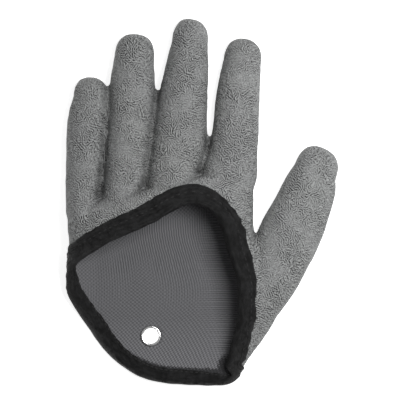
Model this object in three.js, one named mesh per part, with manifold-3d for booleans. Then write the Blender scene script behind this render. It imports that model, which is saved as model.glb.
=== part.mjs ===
// A left-hand fishing glove, lying palm down. A crinkled latex coat covers a knit liner. The back of
// the hand is cut away, one black tape binds the whole rim, and an eyelet in the palm hangs it up.
// Millimetres. X runs from the little finger to the thumb, Y from the wrist to the fingertips, Z up.
// The origin is on the flat underside of the palm, below the knuckles.
import * as THREE from "three";
import { mergeVertices } from "three/addons/utils/BufferGeometryUtils.js";
import Module from "manifold-3d";

const wasm = await Module();
wasm.setup();

// Palm
const palmWidth = 110;
const palmLength = 123;
const palmHeight = 30;
const heelLift = 1.8;

// Fingers and thumb
const littleLength = 80;
const littleWidth = 23.6;
const littleHeight = 19.5;
const ringLength = 99.5;
const ringWidth = 27.4;
const ringHeight = 21;
const middleLength = 105.5;
const middleWidth = 28;
const middleHeight = 22;
const indexLength = 94;
const indexWidth = 27;
const indexHeight = 21.5;
const thumbLength = 96.5;
const thumbWidth = 29;
const thumbHeight = 23;
const rootTaper = 12;

// Cloth
const coatWall = 1.1;
const linerWall = 0.9;
const layerGap = 0.35;
const fingerGap = 0.7;

// Binding tape, folded over the rim: its cloth, and how deep it reaches outside and inside
const tapeCloth = 0.8;
const tapeOutside = 11.5;
const tapeInside = 7.6;
const tapeFold = 1.1;
const tapeGap = 0.45;

// Eyelet and washer
const eyeletHole = 8.7;
const eyeletBarrelWall = 0.6;
const eyeletFlange = 12;
const eyeletFlangeRise = 1.1;
const eyeletLip = 11;
const eyeletLipThick = 0.5;
const eyeletLipBevel = 0.3;
const eyeletFlangeBevel = 0.6;
const washerWidth = 14.4;
const washerThick = 0.55;
const washerGap = 0.25;

// Where the origin and the eyelet are, as shares of the palm's width and length
const restPlace = { across: 0.5, along: 0.8 };
const eyeletPlace = { across: 0.45, along: 0.238 };

// Palm sections from the wrist to the knuckles. along is a share of the palm's length, left and right
// are shares of its width, height is a share of its height, and slant is how far a section leans
// forward at its sides, as a share of the length.
const palmRows = [
  { along: -0.16, left: 0.0, right: 0.85, height: 0.34, slant: 0 },
  { along: 0.0, left: 0.0, right: 0.885, height: 0.34, slant: 0 },
  { along: 0.12, left: 0.0, right: 0.955, height: 0.46, slant: 0 },
  { along: 0.23, left: 0.0, right: 1.045, height: 0.64, slant: 0 },
  { along: 0.34, left: 0.0, right: 1.115, height: 0.8, slant: 0 },
  { along: 0.46, left: 0.01, right: 1.125, height: 0.91, slant: 0 },
  { along: 0.58, left: 0.02, right: 1.06, height: 0.96, slant: 0 },
  { along: 0.7, left: 0.02, right: 0.995, height: 0.99, slant: 0.02 },
  { along: 0.8, left: 0.012, right: 0.99, height: 1.0, slant: 0.05 },
  { along: 0.88, left: 0.012, right: 0.99, height: 0.98, slant: 0.08 },
  { along: 0.92, left: 0.015, right: 0.99, height: 0.92, slant: 0.1 },
  { along: 0.945, left: 0.04, right: 0.97, height: 0.8, slant: 0.1 },
];
const backRoundness = 2.4;
const palmRoundness = 3.5;
const sideHeight = 0.46;
const flatDepth = 1.5;
const heelEnd = 0.48;
const heelTop = 0.6;

// The rim of the opening. across is a share of the palm's width from the little finger's side, and a
// row at a side fold has none. tape is the share of the tape's depth there.
const rimRows = [
  { face: "leftFold", along: 0.548, tape: 0.8 },
  { face: "back", across: 0.116, along: 0.64, tape: 0.83 },
  { face: "back", across: 0.242, along: 0.707, tape: 0.92 },
  { face: "back", across: 0.36, along: 0.75, tape: 0.97 },
  { face: "back", across: 0.471, along: 0.788, tape: 1.0 },
  { face: "back", across: 0.561, along: 0.825, tape: 1.0 },
  { face: "back", across: 0.66, along: 0.846, tape: 0.93 },
  { face: "back", across: 0.757, along: 0.815, tape: 0.8 },
  { face: "back", across: 0.818, along: 0.768, tape: 0.74 },
  { face: "back", across: 0.853, along: 0.708, tape: 0.86 },
  { face: "back", across: 0.879, along: 0.63, tape: 0.82 },
  { face: "back", across: 0.914, along: 0.54, tape: 0.75 },
  { face: "back", across: 0.93, along: 0.43, tape: 0.68 },
  { face: "back", across: 0.93, along: 0.33, tape: 0.64 },
  { face: "back", across: 0.905, along: 0.228, tape: 0.62 },
  { face: "back", across: 0.887, along: 0.15, tape: 0.58 },
  { face: "back", across: 0.878, along: 0.09, tape: 0.54 },
  { face: "rightFold", along: 0.045, tape: 0.52 },
  { face: "palm", across: 0.86, along: 0.018, tape: 0.65 },
  { face: "palm", across: 0.767, along: 0.012, tape: 0.9 },
  { face: "palm", across: 0.63, along: 0.017, tape: 1.0 },
  { face: "palm", across: 0.508, along: 0.026, tape: 1.0 },
  { face: "palm", across: 0.4, along: 0.052, tape: 1.0 },
  { face: "palm", across: 0.29, along: 0.108, tape: 1.0 },
  { face: "palm", across: 0.2, along: 0.188, tape: 1.0 },
  { face: "palm", across: 0.128, along: 0.28, tape: 0.93 },
  { face: "palm", across: 0.07, along: 0.357, tape: 0.86 },
  { face: "palm", across: 0.02, along: 0.443, tape: 0.81 },
];

// Fingers and thumb. The root is placed by shares of the palm, and lean is the angle of the axis
// towards the thumb. In rows, along is a share of the length, and the first row is where the solid
// starts, inside the palm. left and right are half widths as shares of the width, and height is a
// share of the height.
const digits = [
  {
    name: "little",
    root: { across: 0.085, along: 0.807 },
    lean: 4.1,
    length: littleLength,
    width: littleWidth,
    height: littleHeight,
    rows: [
      { along: -0.16, left: 0.2, right: 0.4, height: 1.1 },
      { along: 0.0, left: 0.39, right: 0.48, height: 1.3 },
      { along: 0.1, left: 0.425, right: 0.46, height: 1.22 },
      { along: 0.17, left: 0.45, right: 0.425, height: 1.14 },
      { along: 0.3, left: 0.475, right: 0.45, height: 1.06 },
      { along: 0.6, left: 0.53, right: 0.48, height: 1.0 },
      { along: 0.75, left: 0.5, right: 0.485, height: 0.97 },
      { along: 0.86, left: 0.42, right: 0.45, height: 0.92 },
    ],
  },
  {
    name: "ring",
    root: { across: 0.296, along: 0.854 },
    lean: 4.85,
    length: ringLength,
    width: ringWidth,
    height: ringHeight,
    rows: [
      { along: -0.16, left: 0.4, right: 0.4, height: 1.1 },
      { along: -0.02, left: 0.5, right: 0.5, height: 1.26 },
      { along: 0.06, left: 0.47, right: 0.5, height: 1.2 },
      { along: 0.15, left: 0.45, right: 0.49, height: 1.12 },
      { along: 0.3, left: 0.46, right: 0.52, height: 1.05 },
      { along: 0.6, left: 0.47, right: 0.535, height: 1.0 },
      { along: 0.75, left: 0.47, right: 0.485, height: 0.97 },
      { along: 0.86, left: 0.43, right: 0.435, height: 0.92 },
    ],
  },
  {
    name: "middle",
    root: { across: 0.561, along: 0.878 },
    lean: 6.0,
    length: middleLength,
    width: middleWidth,
    height: middleHeight,
    rows: [
      { along: -0.16, left: 0.4, right: 0.4, height: 1.0 },
      { along: -0.02, left: 0.58, right: 0.55, height: 1.22 },
      { along: 0.1, left: 0.59, right: 0.6, height: 1.15 },
      { along: 0.17, left: 0.58, right: 0.54, height: 1.1 },
      { along: 0.3, left: 0.56, right: 0.605, height: 1.04 },
      { along: 0.45, left: 0.545, right: 0.56, height: 1.0 },
      { along: 0.6, left: 0.5, right: 0.52, height: 0.99 },
      { along: 0.75, left: 0.425, right: 0.475, height: 0.95 },
      { along: 0.86, left: 0.36, right: 0.415, height: 0.9 },
    ],
  },
  {
    name: "index",
    root: { across: 0.847, along: 0.878 },
    lean: 6.2,
    length: indexLength,
    width: indexWidth,
    height: indexHeight,
    rows: [
      { along: -0.16, left: 0.4, right: 0.25, height: 1.0 },
      { along: -0.02, left: 0.6, right: 0.46, height: 1.22 },
      { along: 0.12, left: 0.66, right: 0.6, height: 1.14 },
      { along: 0.2, left: 0.6, right: 0.61, height: 1.1 },
      { along: 0.3, left: 0.51, right: 0.57, height: 1.04 },
      { along: 0.45, left: 0.47, right: 0.545, height: 1.0 },
      { along: 0.6, left: 0.48, right: 0.5, height: 0.98 },
      { along: 0.75, left: 0.45, right: 0.465, height: 0.95 },
      { along: 0.86, left: 0.395, right: 0.44, height: 0.9 },
    ],
  },
  {
    name: "thumb",
    root: { across: 1.037, along: 0.393 },
    lean: 20.8,
    length: thumbLength,
    width: thumbWidth,
    height: thumbHeight,
    rows: [
      { along: -0.26, left: 0.35, right: 0.12, height: 0.42 },
      { along: -0.15, left: 0.5, right: 0.24, height: 0.6 },
      { along: -0.03, left: 0.58, right: 0.39, height: 0.8 },
      { along: 0.14, left: 0.62, right: 0.54, height: 0.97 },
      { along: 0.31, left: 0.62, right: 0.615, height: 1.02 },
      { along: 0.47, left: 0.6, right: 0.665, height: 1.0 },
      { along: 0.62, left: 0.52, right: 0.645, height: 0.98 },
      { along: 0.77, left: 0.46, right: 0.6, height: 0.95 },
      { along: 0.86, left: 0.39, right: 0.49, height: 0.9 },
    ],
  },
];
const digitRoundness = 2.3;
const tipRoundness = 2.4;
const tipBluntness = 0.5;

// How finely the faceted solids are cut. palmRings are shares of the way from the tape to the
// knuckles, and endSpacing keeps the stations apart round the knuckles, as a share of the way round.
const rimStations = 44;
const curveSteps = 12;
const palmRings = [0.35, 0.7, 0.9, 1];
const endSpacing = 0.016;
const digitSides = 12;
const digitRings = 5;
const tipAngles = [0, 38, 68];
const roundSides = 24;
const turnSteps = 120;
const halvings = 30;

// How far the cutting solids reach past what they cut
const cutReach = 2.5;
const tentTop = 90;
const lidDepth = 3.4;

// Smooth value of one column of a table, at a place between its rows.
function read(rows, column, at) {
  const last = rows.length - 1;
  let i = 0;
  while (i < last - 1 && rows[i + 1].along < at) i++;
  const span = rows[i + 1].along - rows[i].along;
  const t = THREE.MathUtils.clamp((at - rows[i].along) / span, 0, 1);
  const slope = (row) => {
    const before = rows[Math.max(row - 1, 0)];
    const after = rows[Math.min(row + 1, last)];
    return ((after[column] - before[column]) / (after.along - before.along)) * span;
  };
  const rise = t * t * (3 - 2 * t);
  const leave = t * (1 - t) * (1 - t) * slope(i);
  const arrive = t * t * (t - 1) * slope(i + 1);
  return rows[i][column] * (1 - rise) + rows[i + 1][column] * rise + leave + arrive;
}

const power = (value, roundness) => Math.sign(value) * Math.abs(value) ** (2 / roundness);

// Point of an oval section with a flat foot. turn is 0 at the left side, a quarter turn at the top.
function oval(section, turn, offset) {
  const { left, right, top, foot, back, under } = section;
  const rise = Math.sin(turn);
  const reach = -Math.cos(turn);
  const middle = foot + (top - foot) * sideHeight;
  const roundness = rise > 0 ? back : under;
  const half = reach < 0 ? left : right;
  const radius = rise > 0 ? top - middle : middle - foot + flatDepth;
  const x = (half - offset) * power(reach, roundness);
  const z = middle + (radius - offset) * power(rise, roundness);
  return [x, Math.max(z, foot + offset)];
}

const placeX = (across) => (across - restPlace.across) * palmWidth;
const placeY = (along) => (along - restPlace.along) * palmLength;

// The palm lies flat under the knuckles and is lifted at the heel, over the tape and the eyelet.
const footAt = (along) => heelLift * (1 - THREE.MathUtils.smoothstep(along, heelEnd, heelTop));

function palmSection(along) {
  const left = read(palmRows, "left", along);
  const right = read(palmRows, "right", along);
  const half = ((right - left) / 2) * palmWidth;
  const foot = footAt(along);
  return {
    centre: placeX((left + right) / 2),
    left: half,
    right: half,
    foot,
    top: foot + read(palmRows, "height", along) * palmHeight,
    slant: read(palmRows, "slant", along) * palmLength,
    back: backRoundness,
    under: palmRoundness,
  };
}

// Turn at which the outline of a section has gone the given share of its length from the left fold.
function turnAt(section, around) {
  const share = around - Math.floor(around);
  const lengths = [0];
  let before = oval(section, 0, 0);
  for (let i = 1; i <= turnSteps; i++) {
    const next = oval(section, (i / turnSteps) * 2 * Math.PI, 0);
    lengths.push(lengths[i - 1] + Math.hypot(next[0] - before[0], next[1] - before[1]));
    before = next;
  }
  const goal = share * lengths[turnSteps];
  let i = 0;
  while (i < turnSteps - 1 && lengths[i + 1] < goal) i++;
  const part = (goal - lengths[i]) / (lengths[i + 1] - lengths[i]);
  return ((i + part) / turnSteps) * 2 * Math.PI;
}

// Point of the palm's surface, offset millimetres inside it.
function palmPoint(along, around, offset) {
  const section = palmSection(along);
  const [x, z] = oval(section, turnAt(section, around), offset);
  const y = placeY(along) + (section.slant * x) / section.left;
  return new THREE.Vector3(section.centre + x, y, z);
}

// Share of the way round at which the back or the palm has the given x.
function aroundAt(row) {
  if (row.face === "leftFold") return 0;
  if (row.face === "rightFold") return 0.5;
  let [low, high] = row.face === "back" ? [0, 0.5] : [1, 0.5];
  const goal = placeX(row.across);
  for (let i = 0; i < halvings; i++) {
    const middle = (low + high) / 2;
    if (palmPoint(row.along, middle, 0).x < goal) low = middle;
    else high = middle;
  }
  return (low + high) / 2;
}

// The rim as evenly spaced stations, each with its place on the surface, the step that leads one
// millimetre away from the edge into the cloth, the tape's share of depth, and where round the
// knuckles the cloth that starts at the station ends.
function rimLine() {
  const knots = rimRows.map((row) => new THREE.Vector3(aroundAt(row), row.along, row.tape));
  const shifted = (list, turns) => list.map((knot) => knot.clone().setX(knot.x + turns));
  const ends = 3;
  const all = [...shifted(knots.slice(-ends), -1), ...knots, ...shifted(knots.slice(0, ends + 1), 1)];
  const curve = new THREE.CatmullRomCurve3(all, false, "catmullrom", 0.5);
  const first = ends / (all.length - 1);
  const last = (ends + knots.length) / (all.length - 1);
  const dense = rimStations * curveSteps;
  const places = [];
  for (let i = 0; i <= dense; i++) {
    places.push(curve.getPoint(first + ((last - first) * i) / dense));
  }
  const points = places.map((place) => palmPoint(place.y, place.x, 0));
  const lengths = [0];
  for (let i = 1; i <= dense; i++) {
    lengths.push(lengths[i - 1] + points[i].distanceTo(points[i - 1]));
  }
  const stations = [];
  for (let k = 0; k < rimStations; k++) {
    const goal = (lengths[dense] * k) / rimStations;
    let i = 0;
    while (lengths[i + 1] < goal) i++;
    const part = (goal - lengths[i]) / (lengths[i + 1] - lengths[i]);
    const place = places[i].clone().lerp(places[i + 1], part);
    stations.push({ around: place.x, along: place.y, tape: place.z });
  }
  stations.forEach((station, k) => {
    const before = stations[(k + rimStations - 1) % rimStations];
    const after = stations[(k + 1) % rimStations];
    const edge = palmPoint(after.along, after.around, 0).sub(palmPoint(before.along, before.around, 0));
    station.step = inwardStep(station, edge.normalize());
    const own = station.around + station.step.around * tapeOutside * station.tape;
    station.end = k > 0 ? Math.max(own, stations[k - 1].end + endSpacing) : own;
  });
  return stations;
}

// How along and around change over one millimetre at right angles to the edge, in the surface.
function inwardStep(station, edge) {
  const nudge = 0.004;
  const here = palmPoint(station.along, station.around, 0);
  const upward = palmPoint(station.along + nudge, station.around, 0).sub(here).divideScalar(nudge);
  const sideways = palmPoint(station.along, station.around + nudge, 0).sub(here).divideScalar(nudge);
  const normal = sideways.clone().cross(upward).normalize();
  const inward = normal.cross(edge).normalize();
  const uu = upward.dot(upward);
  const us = upward.dot(sideways);
  const ss = sideways.dot(sideways);
  const size = uu * ss - us * us;
  const iu = inward.dot(upward);
  const is = inward.dot(sideways);
  return { along: (iu * ss - is * us) / size, around: (is * uu - iu * us) / size };
}

const rim = rimLine();

// Point at a depth in the cloth from the rim, and at an offset inside the surface.
const rimPoint = (station, depth, offset) =>
  palmPoint(
    station.along + station.step.along * depth,
    station.around + station.step.around * depth,
    offset,
  );

// Closed solid through rings of points, each ring closed with a fan to its own point.
function loft(rings, firstPoint, lastPoint) {
  const sides = rings[0].length;
  const points = [...rings.flat(), firstPoint, lastPoint];
  const start = points.length - 2;
  const faces = [];
  const at = (ring, side) => ring * sides + (side % sides);
  for (let side = 0; side < sides; side++) {
    faces.push([start, at(0, side + 1), at(0, side)]);
    faces.push([start + 1, at(rings.length - 1, side), at(rings.length - 1, side + 1)]);
    for (let ring = 0; ring < rings.length - 1; ring++) {
      const [a, b] = [at(ring, side), at(ring, side + 1)];
      const [c, d] = [at(ring + 1, side + 1), at(ring + 1, side)];
      faces.push([a, b, c], [a, c, d]);
    }
  }
  return solid(points, faces);
}

function solid(points, faces) {
  const mesh = new wasm.Mesh({
    numProp: 3,
    vertProperties: new Float32Array(points.flatMap((point) => [point.x, point.y, point.z])),
    triVerts: new Uint32Array(faces.flat()),
  });
  const made = new wasm.Manifold(mesh);
  if (made.volume() > 0) return made;
  return solid(points, faces.map(([a, b, c]) => [a, c, b]));
}

const middleOf = (ring) =>
  ring.reduce((sum, point) => sum.add(point), new THREE.Vector3()).divideScalar(ring.length);

// Depths at which the cloth under the tape has a ring of corners, the same for every layer.
const hemDepths = (station) => {
  const hem = tapeInside * station.tape;
  return [hem / 2, hem, tapeOutside * station.tape];
};

// Rings of the palm from the knuckles down to the rim.
function palmSurface(offset, edgeStep) {
  const end = palmRows[palmRows.length - 1].along - offset / palmLength;
  const rings = [...palmRings].reverse().map((share) =>
    rim.map((station) => {
      const depth = tapeOutside * station.tape;
      const along = station.along + station.step.along * depth;
      const around = station.around + station.step.around * depth;
      return palmPoint(
        THREE.MathUtils.lerp(along, end, share),
        THREE.MathUtils.lerp(around, station.end, share),
        offset,
      );
    }),
  );
  for (const i of [2, 1, 0]) {
    rings.push(rim.map((station) => rimPoint(station, hemDepths(station)[i], offset)));
  }
  rings.push(rim.map((station) => rimPoint(station, edgeStep, offset)));
  return rings;
}

// Solid palm that ends at the rim, with its edge square to the cloth.
function palmBody(offset, edgeStep) {
  const rings = palmSurface(offset, edgeStep);
  rings.push(rim.map((station) => rimPoint(station, edgeStep, offset + lidDepth)));
  return loft(rings, middleOf(rings[0]), middleOf(rings[rings.length - 1]));
}

// Hollow of the palm, carried on past the rim and up through the opening.
function palmHollow(offset) {
  const rings = palmSurface(offset, 0);
  rings.push(rim.map((station) => rimPoint(station, -cutReach, offset)));
  const top = middleOf(rings[rings.length - 1]).setZ(tentTop);
  return loft(rings, middleOf(rings[0]), top);
}

// One finger or the thumb as a solid, offset millimetres inside its surface.
function digitBody(digit, offset) {
  const lean = THREE.MathUtils.degToRad(digit.lean);
  const axis = new THREE.Vector3(Math.sin(lean), Math.cos(lean), 0);
  const side = new THREE.Vector3(Math.cos(lean), -Math.sin(lean), 0);
  const root = new THREE.Vector3(placeX(digit.root.across), placeY(digit.root.along), 0);
  const start = digit.rows[0].along;
  const tipStart = 1 - (tipBluntness * digit.width) / digit.length;
  const ringAt = (share, forward, shrink) => {
    const foot = footAt(digit.root.along + (forward * axis.y) / palmLength);
    const section = {
      left: read(digit.rows, "left", share) * digit.width - fingerGap / 2,
      right: read(digit.rows, "right", share) * digit.width - fingerGap / 2,
      top: foot + read(digit.rows, "height", share) * digit.height,
      foot,
      back: digitRoundness,
      under: digitRoundness,
    };
    const middle = foot + (section.top - foot) * sideHeight;
    const ring = [];
    for (let i = 0; i < digitSides; i++) {
      const [x, z] = oval(section, (i / digitSides) * 2 * Math.PI, offset);
      ring.push(
        root.clone().addScaledVector(axis, forward).addScaledVector(side, x * shrink)
          .setZ(middle + (z - middle) * shrink),
      );
    }
    return ring;
  };
  const rings = [];
  for (let i = 0; i < digitRings; i++) {
    const share = THREE.MathUtils.lerp(start, tipStart, i / digitRings);
    rings.push(ringAt(share, share * digit.length, 1));
  }
  const dome = (1 - tipStart) * digit.length - offset;
  for (const degrees of tipAngles) {
    const angle = THREE.MathUtils.degToRad(degrees);
    const forward = tipStart * digit.length + dome * power(Math.sin(angle), tipRoundness);
    rings.push(ringAt(tipStart, forward, power(Math.cos(angle), tipRoundness)));
  }
  const tip = root.clone().addScaledVector(axis, digit.length - offset);
  tip.z = middleOf(rings[rings.length - 1]).z;
  const back = middleOf(rings[0]).addScaledVector(axis, -rootTaper);
  return loft(rings, back, tip);
}

const joined = (solids) => solids.reduce((sum, next) => sum.add(next));
const digitsAt = (offset) => digits.map((digit) => digitBody(digit, offset));

// A hollow skin of the whole hand between two offsets, open at the rim.
function skin(outside, inside, edgeStep) {
  const body = joined([palmBody(outside, edgeStep), ...digitsAt(outside)]);
  const hollow = joined([palmHollow(inside), ...digitsAt(inside)]);
  return body.subtract(hollow);
}

// The tape: the space it fills round the rim, less the cloth that it is folded over.
function tape(coatOutside, linerInside) {
  const outside = coatOutside - tapeGap;
  const inside = linerInside + tapeGap;
  const rings = rim.map((station) => {
    const [halfway, hem, reach] = hemDepths(station);
    const corner = tapeCloth / 2;
    const outline = [
      [reach, outside],
      [reach, outside - tapeCloth],
      [hem, outside - tapeCloth],
      [halfway, outside - tapeCloth],
      [0, outside - tapeCloth],
      [-tapeFold, outside - corner],
      [-tapeFold, inside + corner],
      [0, inside + tapeCloth],
      [halfway, inside + tapeCloth],
      [hem, inside + tapeCloth],
      [hem, inside],
    ];
    return outline.map(([depth, offset]) => rimPoint(station, depth, offset));
  });
  const sides = rings[0].length;
  const faces = [];
  rings.forEach((ring, k) => {
    const next = ((k + 1) % rings.length) * sides;
    for (let i = 0; i < sides; i++) {
      const j = (i + 1) % sides;
      faces.push([k * sides + i, next + i, next + j], [k * sides + i, next + j, k * sides + j]);
    }
  });
  return solid(rings.flat(), faces).subtract(skin(outside, inside, -tapeGap));
}

// Closed solid of a turned shape, from its half section.
function turned(profile, at) {
  const points = profile.map(([radius, height]) => new THREE.Vector2(radius, height));
  const geometry = new THREE.LatheGeometry([...points, points[0]], roundSides);
  geometry.rotateX(Math.PI / 2).translate(at.x, at.y, at.z);
  geometry.deleteAttribute("normal");
  geometry.deleteAttribute("uv");
  const merged = mergeVertices(geometry, 1e-4);
  const position = merged.getAttribute("position");
  const index = merged.getIndex();
  const corners = [];
  for (let i = 0; i < position.count; i++) {
    corners.push(new THREE.Vector3().fromBufferAttribute(position, i));
  }
  const faces = [];
  for (let i = 0; i < index.count; i += 3) {
    faces.push([index.getX(i), index.getX(i + 1), index.getX(i + 2)]);
  }
  return solid(corners, faces);
}

function meshOf(name, made, look) {
  const { vertProperties, triVerts } = made.getMesh();
  const geometry = new THREE.BufferGeometry();
  geometry.setAttribute("position", new THREE.BufferAttribute(vertProperties, 3));
  geometry.setIndex(new THREE.BufferAttribute(triVerts, 1));
  geometry.computeVertexNormals();
  const mesh = new THREE.Mesh(geometry, new THREE.MeshStandardMaterial(look));
  mesh.name = name;
  return mesh;
}

const linerOutside = coatWall + layerGap;
const linerInside = linerOutside + linerWall;
const eyeletAt = new THREE.Vector3(placeX(eyeletPlace.across), placeY(eyeletPlace.along), 0);
const barrelRadius = eyeletHole / 2 + eyeletBarrelWall;
const linerTop = heelLift + linerInside;
const flangeFoot = linerTop + layerGap;
const washerTop = heelLift - washerGap;
const lipTop = washerTop - washerThick - washerGap;

const eyeletSeat = turned(
  [
    [0, -cutReach],
    [barrelRadius + layerGap, -cutReach],
    [barrelRadius + layerGap, linerTop + cutReach],
    [0, linerTop + cutReach],
  ],
  eyeletAt,
);

const eyelet = turned(
  [
    [eyeletHole / 2, lipTop - eyeletLipThick],
    [eyeletLip / 2 - eyeletLipBevel, lipTop - eyeletLipThick],
    [eyeletLip / 2, lipTop - eyeletLipThick / 2],
    [eyeletLip / 2 - eyeletLipBevel, lipTop],
    [barrelRadius, lipTop],
    [barrelRadius, flangeFoot],
    [eyeletFlange / 2, flangeFoot],
    [eyeletFlange / 2, flangeFoot + eyeletFlangeRise / 2],
    [eyeletFlange / 2 - eyeletFlangeBevel, flangeFoot + eyeletFlangeRise],
    [eyeletHole / 2 + eyeletFlangeBevel, flangeFoot + eyeletFlangeRise],
    [eyeletHole / 2, flangeFoot + eyeletFlangeRise / 2],
  ],
  eyeletAt,
);

const washer = turned(
  [
    [barrelRadius + washerGap, washerTop - washerThick],
    [washerWidth / 2, washerTop - washerThick],
    [washerWidth / 2, washerTop],
    [barrelRadius + washerGap, washerTop],
  ],
  eyeletAt,
);

const group = new THREE.Group();
group.add(
  meshOf("latex_coat", skin(0, coatWall, 0).subtract(eyeletSeat), {
    color: 0x7f8482,
    roughness: 0.72,
    metalness: 0,
  }),
  meshOf("knit_liner", skin(linerOutside, linerInside, 0).subtract(eyeletSeat), {
    color: 0x5d5e63,
    roughness: 0.9,
    metalness: 0,
  }),
  meshOf("edge_binding", tape(0, linerInside), { color: 0x232326, roughness: 0.85, metalness: 0 }),
  meshOf("eyelet", eyelet, { color: 0xd9dadb, roughness: 0.22, metalness: 1 }),
  meshOf("eyelet_washer", washer, { color: 0xcfd0d2, roughness: 0.3, metalness: 1 }),
);

export default group;
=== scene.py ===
import math

import bpy
import numpy as np
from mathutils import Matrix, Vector, noise
from mathutils.bvhtree import BVHTree
from mathutils.kdtree import KDTree


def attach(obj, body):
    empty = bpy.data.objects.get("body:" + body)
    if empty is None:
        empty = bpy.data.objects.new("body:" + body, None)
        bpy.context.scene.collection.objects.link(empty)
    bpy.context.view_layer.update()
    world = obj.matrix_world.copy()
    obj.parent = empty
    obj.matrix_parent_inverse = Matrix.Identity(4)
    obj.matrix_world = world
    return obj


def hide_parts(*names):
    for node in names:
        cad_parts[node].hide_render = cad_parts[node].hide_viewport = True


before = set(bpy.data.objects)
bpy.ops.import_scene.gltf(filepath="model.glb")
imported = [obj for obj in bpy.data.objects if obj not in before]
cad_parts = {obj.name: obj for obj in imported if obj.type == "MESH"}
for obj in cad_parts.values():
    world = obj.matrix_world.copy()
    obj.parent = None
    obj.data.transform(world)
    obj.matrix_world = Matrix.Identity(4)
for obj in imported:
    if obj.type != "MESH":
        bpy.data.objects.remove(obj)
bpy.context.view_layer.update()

MM = 0.001

# The glove's sizes in millimetres, the same as those its solids were made to
PALM_WIDTH, PALM_LENGTH, PALM_HEIGHT = 110, 123, 30
HEEL_LIFT = 1.8
COAT_WALL, LINER_WALL, LAYER_GAP = 1.1, 0.9, 0.35
FINGER_GAP = 0.7
LINER_OUTSIDE = COAT_WALL + LAYER_GAP
LINER_INSIDE = LINER_OUTSIDE + LINER_WALL
TAPE_CLOTH, TAPE_OUTSIDE, TAPE_INSIDE, TAPE_FOLD, TAPE_GAP = 0.8, 11.5, 7.6, 1.1, 0.45
EYELET_HOLE, EYELET_BARREL, EYELET_FLANGE, EYELET_RISE, EYELET_LIP = 8.7, 0.6, 12, 1.1, 11
WASHER_WIDTH, WASHER_THICK, WASHER_GAP, FLANGE_EDGE = 14.4, 0.55, 0.25, 0.15
EYELET_SEAT = EYELET_HOLE / 2 + EYELET_BARREL + LAYER_GAP
REST_ACROSS, REST_ALONG = 0.5, 0.8
EYELET_ACROSS, EYELET_ALONG = 0.45, 0.238

BACK_ROUNDNESS, PALM_ROUNDNESS, DIGIT_ROUNDNESS, TIP_ROUNDNESS = 2.4, 3.5, 2.05, 2.4
SIDE_HEIGHT, FLAT_DEPTH = 0.46, 1.5
HEEL_END, HEEL_TOP = 0.48, 0.6
TIP_BLUNTNESS = 0.5


class Table:
    """A table of sections, read smoothly between its rows by its first column."""

    def __init__(self, columns, rows):
        values = np.array(rows, float).T
        self.at = values[0]
        self.columns = dict(zip(columns.split(), values))

    def read(self, column, at):
        value, last = self.columns[column], len(self.at) - 1
        at = np.asarray(at, float)
        i = np.clip(np.searchsorted(self.at, at, side="left") - 1, 0, last - 1)
        span = self.at[i + 1] - self.at[i]
        t = np.clip((at - self.at[i]) / span, 0, 1)

        def slope(row):
            before, after = np.maximum(row - 1, 0), np.minimum(row + 1, last)
            return (value[after] - value[before]) / (self.at[after] - self.at[before]) * span

        rise = t * t * (3 - 2 * t)
        eased = t * (1 - t) ** 2 * slope(i) + t * t * (t - 1) * slope(i + 1)
        return value[i] * (1 - rise) + value[i + 1] * rise + eased


# Palm sections from the wrist to the knuckles, as shares of the palm's length, width and height
PALM = Table("along left right height slant", [
    (-0.16, 0.0, 0.85, 0.34, 0), (0.0, 0.0, 0.885, 0.34, 0), (0.12, 0.0, 0.955, 0.46, 0),
    (0.23, 0.0, 1.045, 0.64, 0), (0.34, 0.0, 1.115, 0.8, 0), (0.46, 0.01, 1.125, 0.91, 0),
    (0.58, 0.02, 1.06, 0.96, 0), (0.7, 0.02, 0.995, 0.99, 0.02), (0.8, 0.012, 0.99, 1.0, 0.05),
    (0.88, 0.012, 0.99, 0.98, 0.08), (0.92, 0.015, 0.99, 0.92, 0.1), (0.945, 0.04, 0.97, 0.8, 0.1),
])

# The rim of the opening: face, share across the palm, share along it, share of the tape's depth
LEFT_FOLD, BACK, RIGHT_FOLD, UNDER = range(4)
RIM = [
    (LEFT_FOLD, 0, 0.548, 0.8), (BACK, 0.116, 0.64, 0.83), (BACK, 0.242, 0.707, 0.92),
    (BACK, 0.36, 0.75, 0.97), (BACK, 0.471, 0.788, 1.0), (BACK, 0.561, 0.825, 1.0),
    (BACK, 0.66, 0.846, 0.93), (BACK, 0.757, 0.815, 0.8), (BACK, 0.818, 0.768, 0.74),
    (BACK, 0.853, 0.708, 0.86), (BACK, 0.879, 0.63, 0.82), (BACK, 0.914, 0.54, 0.75),
    (BACK, 0.93, 0.43, 0.68), (BACK, 0.93, 0.33, 0.64), (BACK, 0.905, 0.228, 0.62),
    (BACK, 0.887, 0.15, 0.58), (BACK, 0.878, 0.09, 0.48), (RIGHT_FOLD, 0, 0.045, 0.4),
    (UNDER, 0.86, 0.018, 0.65), (UNDER, 0.767, 0.012, 0.9), (UNDER, 0.63, 0.017, 1.0),
    (UNDER, 0.508, 0.026, 1.0), (UNDER, 0.4, 0.052, 1.0), (UNDER, 0.29, 0.108, 1.0),
    (UNDER, 0.2, 0.188, 1.0), (UNDER, 0.128, 0.28, 0.93), (UNDER, 0.07, 0.357, 0.86),
    (UNDER, 0.02, 0.443, 0.81),
]

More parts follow.
